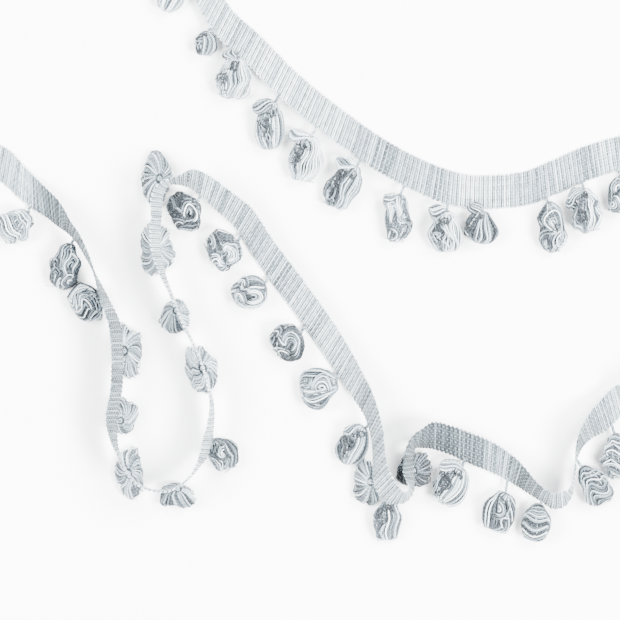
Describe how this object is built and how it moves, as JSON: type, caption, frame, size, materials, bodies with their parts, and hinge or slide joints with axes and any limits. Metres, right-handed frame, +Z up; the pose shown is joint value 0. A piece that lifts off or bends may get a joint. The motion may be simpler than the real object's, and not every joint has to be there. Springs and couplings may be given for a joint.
{
  "type": "pompom fringe trim",
  "caption": "Ribbed yarn heading tape that meanders over a table with tied loop pompoms hanging from one edge.",
  "frame": {"origin": "bottom centre of the bounding box, on the table", "axes": "+X along the length of the layout, +Y towards the top run, +Z up from the table"},
  "size_m": [0.4384, 0.3682, 0.035],
  "materials": {
    "tape_yarn": "space-dyed pale blue-grey cotton and viscose yarn, ribbed weave",
    "pompom_yarn": "space-dyed blue, grey and white plied yarn in tied loops"
  },
  "bodies": {
    "root": {"heading_tape": "tape_yarn", "pompom_lower_01": "pompom_yarn", "pompom_lower_02": "pompom_yarn", "pompom_lower_03": "pompom_yarn", "pompom_lower_04": "pompom_yarn", "pompom_lower_05": "pompom_yarn", "pompom_lower_06": "pompom_yarn", "pompom_lower_07": "pompom_yarn", "pompom_lower_08": "pompom_yarn", "pompom_lower_09": "pompom_yarn", "pompom_lower_10": "pompom_yarn", "pompom_lower_11": "pompom_yarn", "pompom_lower_12": "pompom_yarn", "pompom_lower_13": "pompom_yarn", "pompom_lower_14": "pompom_yarn", "pompom_lower_15": "pompom_yarn", "pompom_lower_16": "pompom_yarn", "pompom_lower_17": "pompom_yarn", "pompom_lower_18": "pompom_yarn", "pompom_lower_19": "pompom_yarn", "pompom_lower_20": "pompom_yarn", "pompom_lower_21": "pompom_yarn", "pompom_lower_22": "pompom_yarn", "pompom_lower_23": "pompom_yarn", "pompom_lower_24": "pompom_yarn", "pompom_lower_25": "pompom_yarn", "pompom_lower_26": "pompom_yarn", "pompom_top_01": "pompom_yarn", "pompom_top_02": "pompom_yarn", "pompom_top_03": "pompom_yarn", "pompom_top_04": "pompom_yarn", "pompom_top_05": "pompom_yarn", "pompom_top_06": "pompom_yarn", "pompom_top_07": "pompom_yarn", "pompom_top_08": "pompom_yarn", "pompom_top_09": "pompom_yarn", "pompom_top_10": "pompom_yarn", "pompom_top_11": "pompom_yarn", "pompom_top_12": "pompom_yarn", "pompom_turn_01": "pompom_yarn", "pompom_turn_02": "pompom_yarn", "pompom_turn_03": "pompom_yarn", "pompom_turn_04": "pompom_yarn"}
  },
  "joints": []
}
